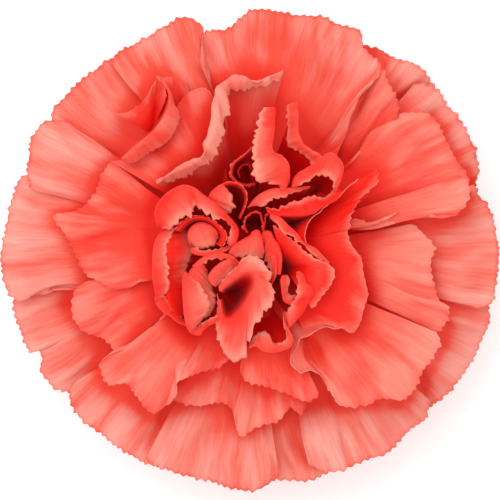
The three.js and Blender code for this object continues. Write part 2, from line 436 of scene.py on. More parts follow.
def grow(petal, pile, seed):
    """The petal's middle surface as a (rows, columns, 3) grid from the claw's foot to the teeth.

    Also v for each row, the distance s along the edge for each column, the relief and the random source.
    """
    rng = np.random.default_rng(seed)
    edge = np.asarray(petal.edge, dtype=float)
    guide = edge if petal.turn is None else np.asarray(petal.turn, dtype=float)
    centre = np.mean(edge, axis=0)
    if petal.throat is None:
        centre = centre / np.linalg.norm(centre) * CLAW_RADII[petal.ring]
    else:
        centre = np.array(petal.throat[:2])
    forward = runs_counter_clockwise(guide, centre)
    if not forward:
        edge, guide = edge[::-1], guide[::-1]
    columns = int(np.clip(run_length(guide)[-1] / COLUMN_WIDTH, 80, 230))
    line = smooth_line(edge, columns)
    over = smooth_line(guide, columns)
    s = run_length(line)
    u = np.linspace(0, 1, columns)
    order = u if forward else u[::-1]
    claw, base = foot_of(petal, over, columns)
    out = over - base[:, :2]
    reach = np.linalg.norm(out, axis=1)
    out = out / np.maximum(reach, 0.5)[:, None]
    if petal.turn is None:
        blade, v = open_blade(petal, base, line, out, reach, order)
    else:
        blade, v = rolled_blade(petal, base, line, over, out, reach, order)
    blade, relief = ruffle(petal, blade, v, s, reach, rng)
    blade = cut_teeth(petal, blade, v, s, rng)
    if petal.laid:
        blade[..., 2] += pile.lift_for(blade)
    pile.add(blade, normals(blade)[..., 2])
    stalk = stalk_of(petal, claw, base)
    surface = np.concatenate([stalk, blade])
    v = np.concatenate([np.linspace(-0.3, 0, len(stalk), endpoint=False), v])
    relief = np.concatenate([np.zeros((len(stalk), columns)), relief])
    return surface, v, s, relief, rng


def build_petal(petal, grown, pile, material):
    """The closed sheet of one grown petal. Attributes tell its material where it is folded or lies under
    other petals, which it paints as light and shade.
    """
    surface, v, s, relief, rng = grown
    rows, columns = surface.shape[:2]
    n = normals(surface)
    thickness = PETAL_THICKNESS if petal.ring < HEART_RING else HEART_THINNESS * PETAL_THICKNESS
    half = (thickness + (EDGE_THICKNESS - thickness) * smoothstep(0.8, 1.0, v)) / 2
    front = surface + n * half[:, None, None]
    back = surface - n * half[:, None, None]
    points = np.concatenate([front.reshape(-1, 3), back.reshape(-1, 3)])
    uv = np.stack([np.broadcast_to(s / 10, (rows, columns)),
                   np.broadcast_to(v[:, None], (rows, columns))], axis=2)
    uv = np.concatenate([uv.reshape(-1, 2)] * 2)
    count = rows * columns
    attributes = {
        "tone": np.full(2 * count, rng.uniform(0, 1)),
        # The relief of the pleats and waves: the material paints light on its ridges and shade in its
        # hollows.
        "fold": np.concatenate([relief.ravel(), -relief.ravel()]),
        "back": np.concatenate([np.zeros(count), np.ones(count)]),
        "shade": np.full(2 * count, petal.shade),
        # How deep the petal lies below the petals round it: the material paints shade by it.
        "occlusion_depth": np.tile(pile.occlusion_depth(surface).ravel(), 2),
        "lip": np.tile(np.repeat(smoothstep(0.78, 0.9, v) * (petal.turn is not None), columns), 2),
    }
    piece = make_piece("petal_" + petal.node + petal.part, points, sheet_faces(rows, columns), uv, attributes)
    piece.data.materials.append(material)
    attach(piece, "root")
    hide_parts(petal.node)
    return piece


def guard_low(number, edge, **more):
    return Petal(f"guard_petal_low_{number}", 0, edge, more.pop("height", (21, 21.5, 21)),
                 more.pop("lean", (-12, -12, -12)), **more)


def guard_high(number, edge, **more):
    return Petal(f"guard_petal_high_{number}", 1, edge, more.pop("height", (24.5, 24.5, 24.5)),
                 more.pop("lean", (-8, -8, -8)), **more)


def outer(number, edge, **more):
    return Petal(f"outer_petal_{number}", 2, edge, more.pop("height", (30, 30, 30)), **more)


def middle(number, edge, **more):
    return Petal(f"middle_petal_{number}", 3, edge, more.pop("height", (35, 35, 35)),
                 more.pop("lean", (10, 10, 10)), **more)


def core(name, ring, edge, height, **more):
    """A small folded petal of the heart: no deep folds, and set where it stands rather than laid."""
    return Petal(name, ring, edge, height, pleat=more.pop("pleat", 0.5), swell=more.pop("swell", 0.25),
                 fold=more.pop("fold", 0.2), tooth=more.pop("tooth", 0.6),
                 shade=more.pop("shade", 0.13), laid=False, **more)


# Lowest first: each petal is laid on those before it.
PETALS = [
    # the lower guard petals
    guard_low(4, [(-26, -22), (-29.5, -21.1), (-30.8, -19.6), (-31.8, -18.4), (-31.6, -16.8),
         (-32.3, -15.4), (-33.5, -15.6), (-34.7, -12.8), (-35.5, -10), (-35.8, -8), (-35, -4)],
         shade=-0.12),
    guard_low(3, [(-30, 17), (-30.1, 20.6), (-28, 23), (-26, 25.3), (-23.5, 27.2), (-22, 28.6),
         (-20.3, 29.2), (-18, 30.8), (-15, 30)], shade=-0.1),
    guard_low(2, [(12, 32.5), (17, 31.2), (19.7, 30.6), (22.5, 28.9), (25, 28.1), (27.2, 26), (28.3, 24),
         (29, 21.5), (28.5, 19)], shade=-0.12),
    guard_low(7, [(36, -6), (36.3, -10), (35.8, -12.3), (34.6, -15.3), (33, -18), (31.3, -20.5),
         (29.5, -22.6), (27.8, -23.8), (25, -25)], shade=-0.15),
    guard_low(6, [(13, -32.5), (10.2, -34.5), (7, -35.2), (4, -35.1), (2.5, -34.6), (0, -33.5)],
         shade=-0.12),
    guard_low(5, [(-9, -33.5), (-14, -33), (-17, -32), (-20, -30), (-23, -27.8), (-25.5, -26), (-27, -24),
         (-27.2, -21.5), (-26.5, -19.8)], shade=-0.15),
    guard_low(1, [(25, 25.3), (28.4, 24.2), (30, 21.7), (31.2, 20.5), (32.5, 18.3), (34, 15.5), (34.8, 13),
         (34.8, 11), (34.3, 9.2), (33.5, 6)], shade=-0.12),
    # the upper guard petals
    guard_high(5, [(-28, -6.5), (-30.5, -7.3), (-32.5, -7.2), (-35.8, -7.3), (-37, -5.7), (-37.6, -3),
         (-37.8, -1), (-37.3, 1.5), (-36.8, 4), (-36.3, 7), (-35.3, 10), (-34.2, 11.1), (-33, 11)],
         shade=-0.08),
    guard_high(4, [(-33, 9), (-33.9, 12), (-33.5, 14.5), (-33.2, 16.5), (-31.5, 19), (-30.5, 19.4),
         (-28, 19.4)]),
    guard_high(6, [(4.5, -34.6), (2, -36), (0, -36.5), (-3, -36.2), (-6, -35.2), (-9, -34.5),
         (-12.5, -33.5), (-16, -32)]),
    guard_high(7, [(27.4, -23), (26.7, -25.7), (24.5, -27.2), (22.5, -29), (20.5, -31), (17.5, -31.8),
         (14.5, -33.3), (11.7, -33.7), (9, -33)], shade=-0.12),
    guard_high(1, [(34, 9.8), (34.6, 8.2), (36, 6.4), (37, 3.5), (37.6, 0.5), (37.7, -3), (37.4, -6),
         (36.8, -8), (35, -9)], shade=-0.15),
    outer(2, [(20, 27.4), (21.3, 24.4), (22.3, 22.5), (22.3, 20.5), (21, 18), (20, 15.5)],
         height=(27, 27.5, 28), crest=30),
    guard_high(2, [(-10, 24), (-10, 28.5), (-8.6, 31.6), (-6, 33.2), (-3.3, 33.4), (-1.5, 35), (0.5, 36.2),
         (3, 36), (7, 35.4), (11, 35.1), (13.5, 34), (16.3, 33.3), (16.8, 32.2), (17, 30.6), (18.6, 29.2),
         (19.8, 27.6), (18.6, 25), (17, 22.2), (15.8, 20), (14.6, 17.8), (13.6, 15.4), (13.1, 13.4)],
         height=(29, 25.5, 26.5, 31), crest=28, shade=0.2),
    guard_high(3, [(-21, 28), (-20, 30), (-15, 32.5), (-12, 34), (-10, 35), (-8, 34.4), (-7, 33),
         (-6.8, 29), (-6.6, 26), (-6.2, 22.5), (-5.7, 19.5)], height=(24.5, 25.5, 27)),
    # outer petals
    outer(5, [(-24.5, -4.8), (-26.2, -6), (-26.9, -8.3), (-26.6, -10.5), (-25.3, -12.3), (-23.5, -13.1),
         (-22, -13.6), (-20.8, -14.8), (-20.3, -16)]),
    outer(6, [(-12.2, -21.6), (-12.2, -22.5), (-10, -23.3), (-7.5, -23.7), (-5, -23.1), (-3.5, -23.4),
         (-2.5, -24.8), (-2, -27), (-1.3, -28.4), (0, -27.5), (1.5, -26.7), (3.5, -26.3), (5, -25.2),
         (6.2, -24), (7.5, -24.9), (8.3, -24), (8.5, -22.5)]),
    outer(3, [(-14.5, 24.5), (-13.6, 25.7), (-12, 26), (-10.3, 25.3), (-9.3, 24), (-9, 22)]),
    outer(4, [(-15, -3.6), (-17.5, -5.2), (-20, -6.1), (-22.8, -5), (-25, -3.5), (-26, -1.3), (-27, 0.7),
         (-28.3, 3), (-29.7, 5), (-27, 5.5), (-25, 6.5), (-23.2, 8.8), (-22.3, 11.3), (-21.1, 13.3)],
         height=(32, 31, 32), shade=0.08),
    outer(7, [(24.5, 3.8), (25.7, 2.8), (27.2, 1.2), (27.9, 0), (27.3, -2.5), (27.8, -5.5), (28.6, -7.8),
         (30, -8.8), (29.7, -11), (28.4, -12.6)], shade=-0.12),
    outer(1, [(21.5, 19), (22.6, 20.4), (24.5, 20.6), (26.5, 20.5), (28, 19.6), (29.2, 17.3), (30.4, 15),
         (31.5, 13), (32.6, 11.5), (33, 9.8)]),
    # middle petals
    middle(5, [(-20, -15.8), (-22.1, -17.2), (-22.1, -19), (-21, -20.7), (-18.5, -20.5), (-17.2, -22),
         (-16, -23.6), (-14.6, -24.6), (-13.2, -23.4), (-12.2, -22), (-11, -20.3), (-8, -19), (-5, -17.7),
         (-3.2, -16.6)]),
    middle(6, [(-1.5, -18.5), (0, -20), (3, -20.8), (6, -22), (8.5, -23), (10.5, -22)]),
    middle(7, [(28.2, -12.6), (28.6, -14.3), (27.6, -16.3), (26.2, -18), (25.2, -20.3), (24.3, -21.8),
         (22.7, -22.8), (20, -22.6), (17.5, -23.5), (15, -23.6), (12.8, -22.5), (11.3, -20.8), (9.5, -18),
         (7, -17), (6.5, -15.2), (7.5, -13.8), (9, -12.8), (10.5, -12.1), (12.5, -12.3), (14, -12.4)],
         height=(35, 34, 34, 34, 35, 38, 39.5, 39.5), lean=(5, -5, -5, -5, 20, 75, 80, 75), crest=36,
         shade=-0.1),
    middle(1, [(31.5, 11), (33, 9.3), (32.7, 7.3), (31.5, 5.7), (29.5, 5.1), (27, 5.2), (24, 5.5), (21, 5),
         (18.5, 4.2), (15.5, 4)], height=(34, 34, 37)),
    middle(4, [(-21.3, 13.2), (-19, 13.4), (-17, 14.4), (-15, 15.8), (-13.4, 17.4), (-12.2, 19.2),
         (-11.3, 21), (-10.2, 22.6), (-8.8, 23.8), (-7, 24.2), (-5.6, 23), (-5, 20)], height=(32, 33, 34),
         lean=(0, 5, 10), crest=34, fold=1.2, pleat=0.3, tooth=0.1, shade=0.05),
    middle(3, [(-21.7, 21.5), (-20.8, 20.6), (-19, 20.4), (-17, 21.4), (-15.5, 22.8), (-14.7, 24.5),
         (-14, 26), (-13.2, 25), (-12.6, 23)], height=(30.5, 34, 38), lean=(15, 50, 80),
         throat=(-14.6, 17.4, 30), crest=31, fold=0.3, tooth=0.2, shade=0.15, laid=False),
    middle(3, [(-13.4, 25.5), (-12, 23.6), (-11.4, 21.6), (-10.6, 20), (-11, 18.4), (-11.7, 17),
         (-12.8, 15.8), (-14.5, 14.9), (-16, 14), (-17.3, 13.1), (-18.8, 13)], turn=[(-14.1, 26),
         (-12.7, 24.6), (-12.1, 23.2), (-12.1, 21.6), (-12.9, 19.8), (-14.4, 17.8), (-16.2, 16.2),
         (-18, 14.7), (-19.3, 13.6)], height=(38, 38, 35), drop=(0.4, 1.2, 0.8), throat=(-15.2, 18.4, 30),
         crest=31, fold=0.1, swell=0.2, pleat=0.4, tooth=0.35, shade=0.15, part="_roll", laid=False),
    middle(2, [(-13.3, 9.7), (-11.6, 10.2), (-10, 10.8), (-8.5, 11.7), (-7.3, 12.5), (-6.3, 12.3),
         (-5.5, 13.2), (-4.9, 14.8), (-4.2, 16.6), (-3.5, 17.6), (-3.9, 18.8), (-3.3, 21), (-3.4, 23),
         (-2.3, 24.1), (0, 24), (2.5, 24.6), (4.9, 25.9)], turn=[(-14.2, 10.1), (-12.2, 11.3),
         (-10.2, 12.4), (-8.5, 13.2), (-7.4, 14.2), (-6.6, 16), (-5.8, 18), (-5.3, 20), (-5.2, 22),
         (-4.9, 24), (-3.5, 25.4), (-1, 25.7), (1.5, 25.6), (3.5, 26.4), (5, 27)],
         height=(38, 41, 41, 36, 33), drop=(0.7, 0.6, 0.5, 0.3, 0.3), fold=0.3, tooth=0.85, crest=33,
         shade=-0.15, laid=False),
    # inner petals
    core("inner_petal_7", 4, [(14.5, 4.6), (14.8, 2.6), (15.1, 1), (15.9, -0.4), (16.6, -1.7),
         (16.9, -3.5), (17.4, -5.5), (17.6, -7.2), (17, -9), (16.6, -11), (15.4, -12.6), (13.6, -11.9),
         (11.5, -11.4), (9.6, -11.5), (8, -12.2)], (39.5, 40, 39.5, 38.5, 37.5), lean=(20, 25, 15, 5, 0),
         tooth=0.2, pleat=0.1, swell=0.1, fold=0.5, shade=0.15),
    core("inner_petal_1", 4, [(15, 3), (15.2, 5), (16.5, 7.2), (18, 9), (19.2, 10), (19, 12)],
         (41, 40, 39), lean=(40, 30, 30)),
    core("inner_petal_6", 4, [(-0.2, -14.4), (0.4, -13.4), (1, -12.7), (1.8, -12.4), (2.6, -12.5),
         (3, -13.7), (3.8, -14.2), (4.8, -14), (5.6, -13.4), (5.4, -12.2), (4.9, -11), (5, -9.6)],
         (40, 40, 42), turn=[(-0.2, -14.9), (0.8, -14.5), (2, -15.2), (3.5, -15.4), (5, -15.1),
         (6.1, -14.6), (6.3, -13.3), (5.7, -12), (5.3, -10.5), (5.2, -9.4)], drop=0.5),
    core("inner_petal_3", 4, [(5.5, 21.6), (5.8, 19), (5.6, 16.8), (5.7, 15.6), (6.4, 15), (7.6, 14.6),
         (8.6, 13.6), (9.3, 12.4)], (39, 41, 42), turn=[(6.9, 22), (7, 20), (7.1, 17.6), (7.9, 15.9),
         (9, 14.9), (10.2, 14.3), (11.2, 13.6)]),
    core("inner_petal_5", 4, [(-9.4, 3), (-8.9, 1), (-8.8, -1.1), (-9.3, -2.1), (-9.6, -2.9), (-9.1, -4.2),
         (-8.9, -7), (-8.9, -10)], (41.5, 41.5, 39), turn=[(-12.9, 3), (-13, 0.8), (-12.9, -2),
         (-12.9, -5), (-12.3, -8), (-10.9, -10.5)], drop=2.5, throat=(-9, -4.5, 34), shade=0.4, pleat=0.1,
         swell=0.1, fold=0.5, part="_wall"),
    core("inner_petal_5", 4, [(-11, 3.2), (-12, 1.8), (-12.5, 0.4), (-12.6, -1.3), (-12.2, -3.1),
         (-12.3, -4.1), (-12, -5.3), (-12.3, -6.3), (-12.7, -6.7), (-13.5, -7.5)], (42.5, 43.5, 42),
         turn=[(-12.4, 3.2), (-13.9, 1.6), (-14.3, 0), (-14.4, -2.7), (-14.4, -4.7), (-14.1, -6.7),
         (-14.2, -7.5), (-13.9, -8)], throat=(-9, -4.5, 34)),
    core("inner_petal_5", 4, [(-12.6, -6.9), (-12.2, -7.6), (-11.6, -8.6), (-11, -9.5), (-10.3, -10.3),
         (-9.5, -10.9)], (41.8, 40.5, 39), turn=[(-14.1, -7.3), (-13.8, -8.3), (-12.9, -9.4), (-11.9, -10),
         (-10.8, -10.9), (-9.6, -11.4)], throat=(-9, -6, 34), part="_low"),
    core("inner_petal_4", 4, [(-13, 3), (-11.6, 3.4), (-10.7, 4), (-10.1, 4.6), (-8.7, 5.1), (-8.5, 6.3),
         (-7.5, 6.1), (-6.8, 5.5), (-6, 5.3), (-5, 4.4), (-4.2, 4.6), (-3.5, 4.2), (-2.9, 3.6), (-3.1, 2),
         (-3.5, 0.9)], (44, 46, 43), turn=[(-13.8, 3.6), (-14.1, 5.3), (-13.6, 7.1), (-12.2, 8.6),
         (-10.1, 9.5), (-8.5, 9.2), (-7.2, 8.2), (-5.4, 6.9), (-3.9, 5.5), (-2.5, 4), (-1.8, 2.8),
         (-2.1, 1.2), (-2.9, 0.4)], throat=(-7.5, 2.8, 34), fold=0.35, swell=0.3, tooth=0.9),
    core("inner_petal_2", 4, [(7, 10.2), (7.1, 11.2), (8, 11.7), (8.6, 11.2), (8.5, 10.4)], (43, 43.5, 43),
         lean=(88, 88, 88), throat=(7.8, 10.8, 39), hollow=0.7, part="_curl"),
    core("inner_petal_2", 4, [(7.4, 9.5), (8.2, 10), (9, 10.3), (9.8, 11), (10.6, 11), (11.4, 11),
         (12, 10.7), (12.4, 10.2), (12.5, 9.4), (12.3, 8.6), (12, 8)], (44, 44, 42), turn=[(6.3, 9.1),
         (6.6, 10.5), (7.6, 11.4), (9, 12.3), (10.4, 13.2), (11.3, 14.1), (12.2, 14.3), (13.2, 13.5),
         (13.9, 12.3), (13.6, 10.5), (13, 9), (12.4, 7.8)], throat=(9.8, 8.8, 35)),
    # the heart
    core("heart_petal_1", 5, [(11.2, -2), (10.2, -1.2), (9.2, -0.3), (8.5, 0.8), (8.3, 2.2), (8.6, 3.5),
         (9.5, 4.7), (11, 6.1), (12.8, 7.5), (14.5, 8.9), (16.3, 10.6)], (44, 44, 41), lean=(85, 85, 70)),
    core("heart_petal_3", 5, [(-4.5, 9.5), (-3.4, 10), (-2, 9.9), (-0.9, 9.1), (-0.4, 7.7), (-0.8, 6),
         (-1.5, 4.5)], (43.5, 44.5, 43.5), lean=(88, 88, 88), throat=(-2.2, 7, 34), hollow=0.8),
    core("heart_petal_3", 5, [(-3.4, 5.2), (-2.3, 6.3), (-2.7, 7.1), (-2.6, 8), (-3.2, 8.6), (-3.8, 9.3)],
         (43, 44, 44), turn=[(-6.3, 6.6), (-6, 8.2), (-4.8, 9.4), (-3.8, 9.8)], drop=1,
         throat=(-3.6, 7, 35), part="_lobe"),
    core("heart_petal_4", 5, [(-11.3, 2.8), (-10.3, 4), (-9, 4.8), (-7.5, 5), (-6.2, 4.7), (-5, 4),
         (-4, 3), (-3.5, 2), (-3.7, 1), (-4.3, 0.3)], (43, 43.5, 43), lean=(85, 88, 85),
         throat=(-7.3, 2, 36), hollow=0.7),
    core("heart_petal_4", 5, [(-8.6, 0.3), (-7.2, -0.2), (-5.6, -0.2), (-4.4, 0.1), (-3.2, 0.6)],
         (42.5, 42.5, 42.5), turn=[(-8.9, 0.2), (-8.6, -0.6), (-7, -1), (-5.4, -0.9), (-4, -0.5),
         (-2.7, 0.2)], drop=0.5, throat=(-6, 1, 34), part="_low"),
    core("heart_petal_5", 5, [(-6.6, -10.5), (-5.8, -9.4), (-5.2, -8.4), (-5.3, -6.8), (-5.8, -5.5),
         (-6.1, -4.2), (-6.4, -3.2)], (42, 42.5, 42.5), turn=[(-9.4, -7), (-9.5, -5), (-9.2, -3.6),
         (-8.4, -2.6), (-7.4, -2.1), (-6.8, -2.5)], drop=1.5, throat=(-7.5, -7, 34), part="_inside"),
    core("heart_petal_5", 5, [(-9.2, -3.8), (-8.4, -4.3), (-7.8, -5.1), (-7.2, -5.5), (-6.8, -6.3),
         (-6.3, -7.1), (-6, -8.5), (-6.4, -9.4), (-7, -10.2), (-7.3, -10.8)], (43.5, 44.5, 42),
         turn=[(-9.7, -3.4), (-10, -4.7), (-10, -7.5), (-9.8, -10), (-9.4, -11.7), (-8.9, -12.5)], drop=1,
         throat=(-8, -8, 35)),
    core("heart_petal_5", 5, [(-8.5, -11.3), (-8, -11.8), (-7.6, -11.4), (-7, -10.9), (-5.9, -10.4),
         (-5, -9.8)], (42, 41.5, 43.5), turn=[(-9.2, -11.9), (-8.9, -12.5), (-7.6, -12.9), (-7, -12.2),
         (-6.2, -11.5), (-5.2, -10.9), (-4.4, -10.1)], drop=0.5, throat=(-7, -9, 34), part="_hook"),
    core("heart_petal_7", 5, [(3.4, 3.7), (4.7, 2.8), (5.9, 1.7), (7, 0.9), (8, -0.2), (9, -0.9),
         (10.2, -1.7), (11.3, -2.1), (12.2, -2.7), (12.6, -3.6), (12.4, -4.6), (11.9, -5.6), (11.1, -6.7),
         (10.2, -7.8), (9.3, -9)], (44.5, 44.8, 44.2, 43, 41.5), lean=(15, 10, -15, -40, -50),
         throat=(5, -2.5, 35), crest=43, fold=0.5, tooth=0.35, shade=0.05),
    core("heart_petal_6", 5, [(2.2, -1.6), (2.6, -1.8), (2.8, -2.6), (3, -3.4), (3, -4.4), (2.8, -5)],
         (43.5, 44, 42), turn=[(2.4, -0.8), (3, -0.6), (3.7, -0.7), (4, -2.3), (3.9, -3.9), (3.3, -5.2)],
         drop=1, throat=(2.6, -3, 35), part="_lobe"),
    core("heart_petal_6", 5, [(-4.6, -5.4), (-3.5, -4.1), (-2.4, -3), (-1.6, -2.2), (-1.1, -1.5),
         (-0.1, -1), (0.9, -1.1), (1.9, -1.8), (2.6, -2.8), (3.2, -3.5), (3, -4.4), (2.7, -4.8),
         (3.2, -5.4), (3.5, -6.5), (3.4, -7.7), (3, -8.7), (2, -9.2), (1.6, -10.6), (0.6, -11.3),
         (0.4, -12.5), (0, -13.6), (-0.8, -14.2), (-0.5, -16), (-1.5, -16.6), (-2.3, -17), (-3.2, -16.4),
         (-4, -15.2), (-4.7, -13.6), (-5.1, -11.8), (-5.1, -10.6), (-4.9, -9.4), (-4.8, -8), (-4.9, -6.5)],
         (46, 46, 45.5, 44.5, 43.5, 45), turn=[(-4.5, -6.3), (-3.8, -5.6), (-2.9, -4.9), (-2, -4.3),
         (-1.1, -3.8), (-0.3, -3.6), (0.4, -3.9), (0.7, -4.7), (0.5, -5.7), (0, -6.7), (-0.6, -7.7),
         (-1.3, -8.7), (-2.1, -9.6), (-2.9, -10.2), (-3.5, -10.3), (-4, -9.8), (-4.3, -8.9), (-4.5, -7.6)],
         drop=(0.4, 0.3, 1.2, 2, 5, 3, 1), throat=(-3.2, -7.1, 31), crest=35, bank=0.4, pleat=0.5,
         tooth=0.9, shade=-0.02),
    core("heart_petal_2", 5, [(0.8, 9.6), (-0.8, 9.4), (-2.2, 10), (-2.9, 11), (-2.8, 12.3), (-2.1, 13.3),
         (-1.1, 14), (0, 15), (1, 15.8)], (41, 41.5, 42), lean=(86, 86, 86), throat=(-0.2, 12, 31),
         hollow=0.85, part="_pocket"),
    core("heart_petal_2", 5, [(-1.6, 10.6), (-1.9, 11.6), (-1.2, 12.6), (-0.2, 12.8), (0.2, 12)],
         (37, 37.5, 37), lean=(88, 88, 88), throat=(-0.8, 11.6, 31), hollow=0.8, part="_curl"),
    core("heart_petal_2", 5, [(1.8, 21.3), (1.5, 20.2), (1.2, 19.2), (1, 17.5), (0.6, 16), (0.5, 14.5),
         (0.6, 13), (0.4, 12), (0.6, 10.8), (1.2, 10), (2, 10), (2.6, 10.4), (3, 9.8), (3.8, 9.6),
         (4.3, 9.7), (4.6, 9.1)], (41, 45.5, 45), turn=[(3.9, 21.3), (4, 20), (3.7, 18), (3.2, 16.2),
         (3, 15.2), (3.5, 14.3), (4.7, 13.9), (5.7, 12.8), (5.9, 11.3), (5.8, 10), (5.2, 8.9), (4.6, 8.7)],
         drop=0.9, tooth=0.8),
    # round the dark centre
    core("centre_petal_2", 6, [(-8.9, 0.4), (-7.8, 0.1), (-6.6, 0.1), (-5.6, 0.4), (-5, 1), (-4.8, 1.6),
         (-4.7, 2.1)], (42.5, 43, 42.5), turn=[(-9, 0.8), (-9.3, 1.9), (-9, 3), (-8, 3.8), (-6.8, 3.9),
         (-5.6, 3.3), (-4.8, 2.4)], drop=1.6, throat=(-7.2, 1.8, 37)),
    core("centre_petal_3", 6, [(-8, -3), (-7.3, -2.3), (-6.3, -1.7), (-5, -1.4), (-4.1, -1.4),
         (-3.3, -1.5), (-2.5, -2), (-2, -2.6)], (43, 43.5, 43.5), turn=[(-8.6, -2.6), (-7.6, -1.7),
         (-6.4, -1), (-5, -0.7), (-3.8, -0.7), (-2.8, -1), (-2, -1.7), (-1.5, -2.3)], drop=0.3,
         throat=(-4.5, -3, 35), part="_rim"),
    core("centre_petal_3", 6, [(-4.6, -5.3), (-4.1, -4.6), (-3.5, -4), (-2.9, -3.4), (-2.4, -3),
         (-1.9, -2.7)], (43.5, 44.5, 44), turn=[(-5.2, -5.6), (-5.9, -5.1), (-6.2, -4.2), (-5.8, -3.3),
         (-5, -2.5), (-4, -1.8), (-3, -1.6), (-2, -2.2)], throat=(-4, -3.4, 38)),
    core("centre_petal_4", 6, [(7, -4.2), (7.2, -4.8), (7.1, -5.8), (7, -6.6), (7.1, -7.1), (6.4, -7.8),
         (6, -8.7), (5.5, -9.4), (5.1, -10.2), (5.2, -11)], (43.5, 43, 41), turn=[(6.9, -3.5), (7.5, -3.4),
         (8.1, -4), (8.4, -5), (9.1, -5.7), (9.4, -6.6), (8.7, -8), (7.9, -9.6), (6.7, -11), (5.8, -11.9)],
         drop=1.2, throat=(6.4, -6.4, 34)),
    core("centre_petal_4", 6, [(5.5, -3.9), (6, -4.8), (5.7, -5.7), (5.7, -6.7), (6.1, -6.9), (7, -7.1)],
         (43, 42.5, 41.5), turn=[(4.9, -3.9), (4.6, -4.7), (4.7, -5.8), (4.8, -6.8), (5.1, -7.8),
         (5.9, -8.3)], drop=1, throat=(6, -5.6, 34), part="_lobe"),
    core("centre_petal_1", 6, [(2.3, 6.2), (3.4, 6), (4.2, 6), (4.8, 6.5), (5.6, 6.5), (6.2, 7.1),
         (7, 7.1), (7.8, 7.4), (8.4, 7.8), (10, 7.9), (11, 7.6), (12, 8), (13, 9)], (44.5, 44.5, 42),
         turn=[(2.6, 5.6), (4, 5), (6, 4.9), (8, 5), (9.6, 5.4), (11, 6.4), (12.6, 7.4), (14, 8.6)],
         drop=1.0),
    core("eye_petal_2", 7, [(0.9, 6.6), (1.8, 6.4), (2.6, 6.9), (3, 7.5), (4, 7.8), (5, 7.8), (6.3, 8.3),
         (7.6, 8.6), (8.8, 9)], (43.5, 44, 43), turn=[(-0.4, 6.2), (0.8, 7.6), (2.3, 8.5), (4, 9),
         (6, 9.1), (7.6, 9.3), (9, 9.4)], drop=0.5),
    core("eye_petal_2", 7, [(2.8, 2.4), (1.6, 3.4), (-0.2, 3.6), (-1.8, 3), (-2.9, 1.6), (-3, -0.2),
         (-2.2, -1.6), (-0.8, -2.4), (1, -2.4), (2.4, -1.6), (3.1, 0), (3, 1.8)], (36, 36, 36),
         lean=(30, 30, 30), throat=(0, 0.6, 32.5), part="_fold", shade=0.4),
    core("eye_petal_3", 7, [(2, 2.6), (2.1, 3.6), (1.8, 4.6), (1.6, 5.4), (0.6, 5.6), (-0.2, 5.2),
         (-0.8, 4.4), (-0.9, 3.2), (-0.4, 2.4)], (43, 43, 43), lean=(88, 88, 88), throat=(0.5, 3.8, 34),
         hollow=0.85),
    core("eye_petal_3", 7, [(2, 2.6), (2.2, 4), (2.4, 5.2), (3.3, 5.2), (3.9, 4.4), (4, 3.2), (3.6, 2.4)],
         (42.5, 43, 42.5), lean=(88, 88, 88), throat=(3, 3.8, 34), hollow=0.85, part="_cell"),
    core("eye_petal_4", 7, [(-2.6, -1.2), (-1.6, -1.3), (-0.9, -1.1), (-0.2, -1), (0.4, -1.2), (1.2, -1.1),
         (1.9, -1.4)], (43.5, 44.5, 44), turn=[(-3.2, -0.6), (-2.6, 0.3), (-1.9, 0.9), (-0.9, 1.5), (0, 2),
         (0.4, 2.6), (1.2, 2.8), (1.7, 2), (1.9, 0.9), (2.1, -0.6)], throat=(0.3, 0, 36), drop=1.2),
    core("eye_petal_4", 7, [(1.9, 0.8), (2.1, 0), (2.2, -0.6), (2.4, -1.4), (2.9, -2), (3.2, -3),
         (3.4, -3.8)], (43.5, 44, 43), turn=[(1.8, 1.6), (2, 2.6), (3.1, 2.6), (3.6, 1.6), (4.3, 0.5),
         (4.7, -1), (4.7, -2.3), (4.5, -3.8)], throat=(2.8, -0.4, 36), drop=1.2, part="_lobe"),
    core("eye_petal_1", 7, [(3.2, 4.6), (4.3, 3.6), (5, 2.3), (6.2, 2), (7, 1.2), (8, 0.6), (8.9, -0.4),
         (9.7, -1), (10.6, -1.6), (11.3, -2.1)], (45.5, 45.5, 44), turn=[(3, 5.1), (4.3, 4.7), (5.6, 3.6),
         (7, 2.4), (8.2, 1), (9.6, 0.2), (11, -1.2), (11.8, -2.1)], drop=0.4),
]


# ---------------------------------------------------------------- calyx and bracts

# The middle of the calyx wall: radius and height.
CALYX_LINE = smooth_line([(5.3, 0), (7.23, 3.7), (8.2, 9.7), (8, CALYX_HEIGHT)], 200)

# Node, azimuth and layer of each scale.
BRACTS = [("inner_bract_1", 0, 0), ("inner_bract_2", 180, 0),
          ("outer_bract_1", 90, 1), ("outer_bract_2", 270, 1)]


def calyx_radius(z):
    return np.interp(z, CALYX_LINE[:, 1], CALYX_LINE[:, 0])


def build_green(name, surface, half, node, material, ring=False):
    """A closed piece, half its thickness on each side of a (rows, columns, 3) grid, cut level at z = 0."""
    rows, columns = surface.shape[:2]
    wide = np.concatenate([surface[:, -1:], surface, surface[:, :1]], axis=1) if ring else surface
    n = normals(wide)
    n = n[:, 1:-1] if ring else n
    points = np.concatenate([(surface + n * half).reshape(-1, 3), (surface - n * half).reshape(-1, 3)])
    points[:, 2] = np.where(points[:, 2] < 0.2, 0, points[:, 2])
    piece = make_piece(name, points, sheet_faces(rows, columns, ring))
    piece.data.materials.append(material)
    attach(piece, "root")
    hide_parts(node)
    return piece


def round_axis(radius, angle, z):
    """Points at a radius, angle and height about the axis."""
    return np.stack([radius * np.cos(angle), radius * np.sin(angle), z], axis=2)


